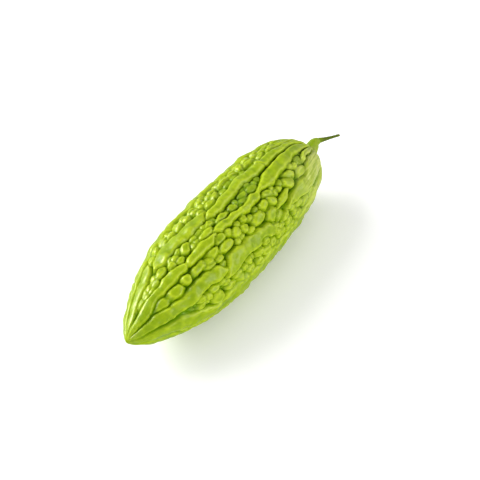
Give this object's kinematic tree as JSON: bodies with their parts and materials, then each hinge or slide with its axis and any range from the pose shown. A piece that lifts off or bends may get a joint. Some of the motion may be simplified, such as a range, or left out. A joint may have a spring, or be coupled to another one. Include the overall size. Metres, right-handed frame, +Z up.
{
  "type": "bitter melon",
  "caption": "Bitter melon as picked: a long pointed fruit with lengthwise ridges, warty valleys, a fleshy neck and a short cut stalk, lying on its side.",
  "frame": {"origin": "under the middle of the whole part, on the surface that it lies on", "axes": "+X along the fruit from the blossom tip to the stalk, +Z up as it lies, +Y to the side away from the front"},
  "size_m": [0.2126, 0.0602, 0.0586],
  "materials": {
    "skin": "waxy, half gloss, darker in the creases between the warts",
    "stalk": "dull, fibrous, drier at the cut end"
  },
  "bodies": {
    "root": {"fruit": "skin", "stem": "stalk"}
  },
  "joints": []
}
